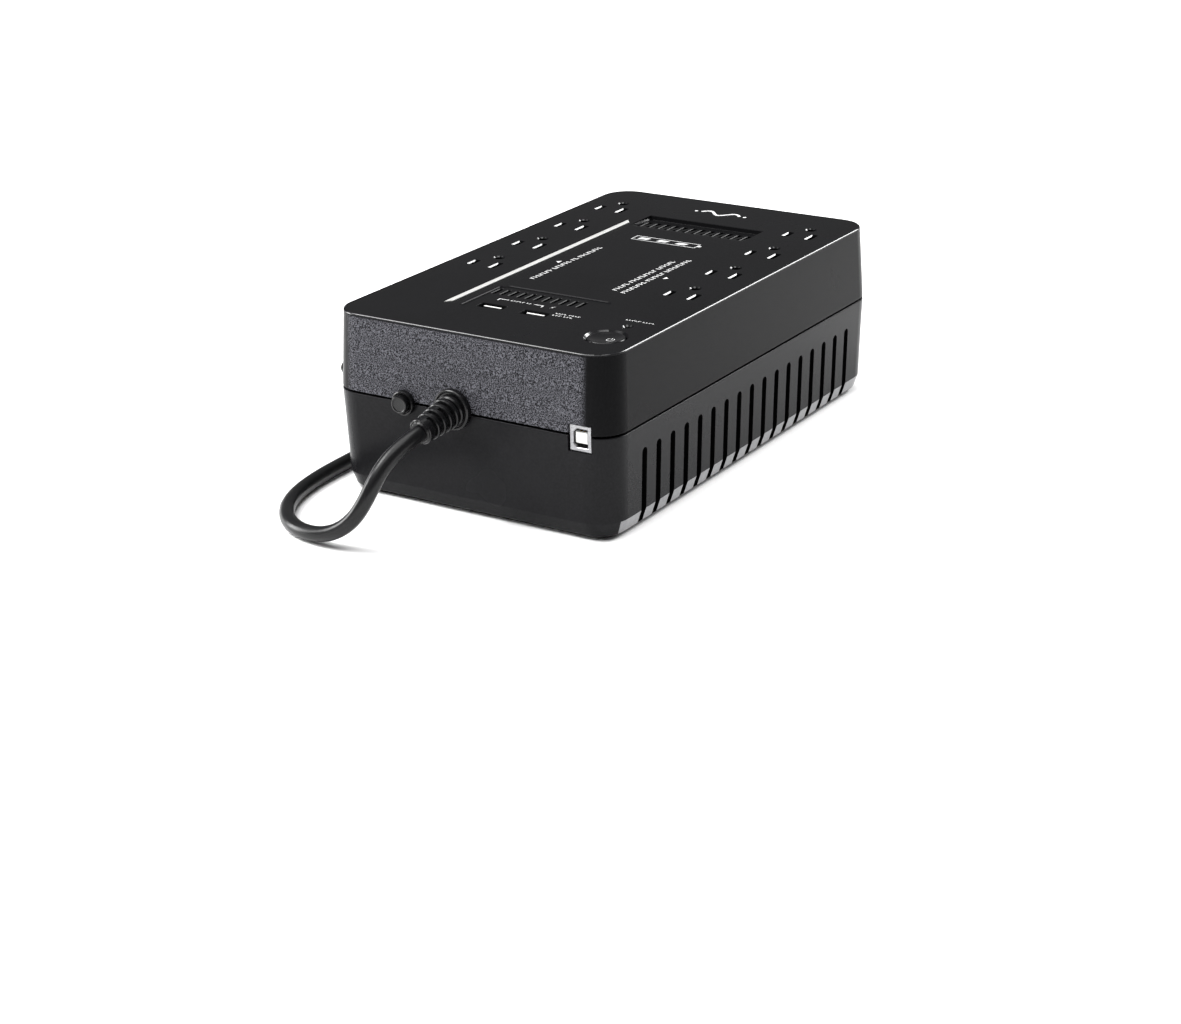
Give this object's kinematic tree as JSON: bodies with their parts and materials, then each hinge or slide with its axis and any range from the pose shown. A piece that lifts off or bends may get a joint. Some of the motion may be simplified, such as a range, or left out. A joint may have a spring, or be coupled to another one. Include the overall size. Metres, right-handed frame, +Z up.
{
  "type": "uninterruptible power supply",
  "caption": "Low desktop battery backup box with grounded outlets in two rows, charging and data ports, side vents, a sliding battery door and a captive mains lead.",
  "frame": {"origin": "on the surface that the feet stand on, under the middle of the case including the breaker button", "axes": "+Z up, +Y along the case away from the end where the mains lead leaves, +X across the case towards the side of the data port"},
  "size_m": [0.2543, 0.313, 0.0863],
  "materials": {
    "cover_plastic": "fine-textured black",
    "case_plastic": "satin black",
    "stripe": "satin silver white",
    "button_plastic": "gloss black",
    "lens": "clear diffusing",
    "black_rubber": "matte black",
    "cord_jacket": "satin black",
    "nickel": "nickel plate",
    "white_plastic": "satin white",
    "steel": "plain steel",
    "brass": "stamped",
    "circuit_board": "solder mask green",
    "winding": "enamelled copper wire",
    "battery_case": "moulded grey",
    "red_wire": "satin red",
    "aluminium": "extruded",
    "insulator": "moulded black",
    "fuse_glass": "clear tube"
  },
  "bodies": {
    "case": {"top_cover": "cover_plastic", "bottom_case": "case_plastic", "inlay_stripe": "stripe", "foot_1": "black_rubber", "foot_2": "black_rubber", "foot_3": "black_rubber", "foot_4": "black_rubber", "case_screw_1": "steel", "case_screw_2": "steel", "case_screw_3": "steel", "case_screw_4": "steel", "outlet_carrier_left": "insulator", "line_bar_left": "brass", "neutral_bar_left": "brass", "ground_bar_left": "brass", "outlet_carrier_right": "insulator", "line_bar_right": "brass", "neutral_bar_right": "brass", "ground_bar_right": "brass", "power_switch": "insulator", "power_led": "lens", "usb_charge_shell_1": "nickel", "usb_charge_tongue_1": "white_plastic", "usb_charge_shell_2": "nickel", "usb_charge_tongue_2": "white_plastic", "usb_data_shell": "nickel", "usb_data_tongue": "white_plastic", "breaker_body": "insulator", "breaker_collar": "insulator", "strain_relief": "black_rubber", "main_board": "circuit_board", "front_board": "circuit_board", "transformer_core": "steel", "transformer_winding": "winding", "battery": "battery_case", "battery_terminal_positive": "brass", "battery_terminal_negative": "brass", "battery_lead_red": "red_wire", "battery_lead_black": "cord_jacket", "heat_sink": "aluminium", "transfer_relay_1": "insulator", "transfer_relay_2": "insulator", "capacitor": "insulator", "fuse": "fuse_glass", "buzzer": "insulator", "line_lead": "cord_jacket", "neutral_lead": "white_plastic", "cord_lead": "cord_jacket", "cord_coil": "cord_jacket", "cord_tail": "cord_jacket", "plug_body": "black_rubber", "plug_blade_line": "nickel", "plug_blade_neutral": "nickel", "plug_ground_pin": "nickel"},
    "power_button": {"power_button": "button_plastic"},
    "breaker_button": {"breaker_button": "button_plastic"},
    "battery_door": {"battery_door": "case_plastic"}
  },
  "joints": [
    {"name": "power_button_press", "type": "slide", "parent": "case", "child": "power_button", "axis": [0, 0, -1], "range_m": [0, 0.0015], "stiffness_N_per_m": 600},
    {"name": "breaker_button_trip", "type": "slide", "parent": "case", "child": "breaker_button", "axis": [0, -1, 0], "range_m": [0, 0.003]},
    {"name": "battery_door_slide", "type": "slide", "parent": "case", "child": "battery_door", "axis": [0, 1, 0], "range_m": [0, 0.02]}
  ]
}
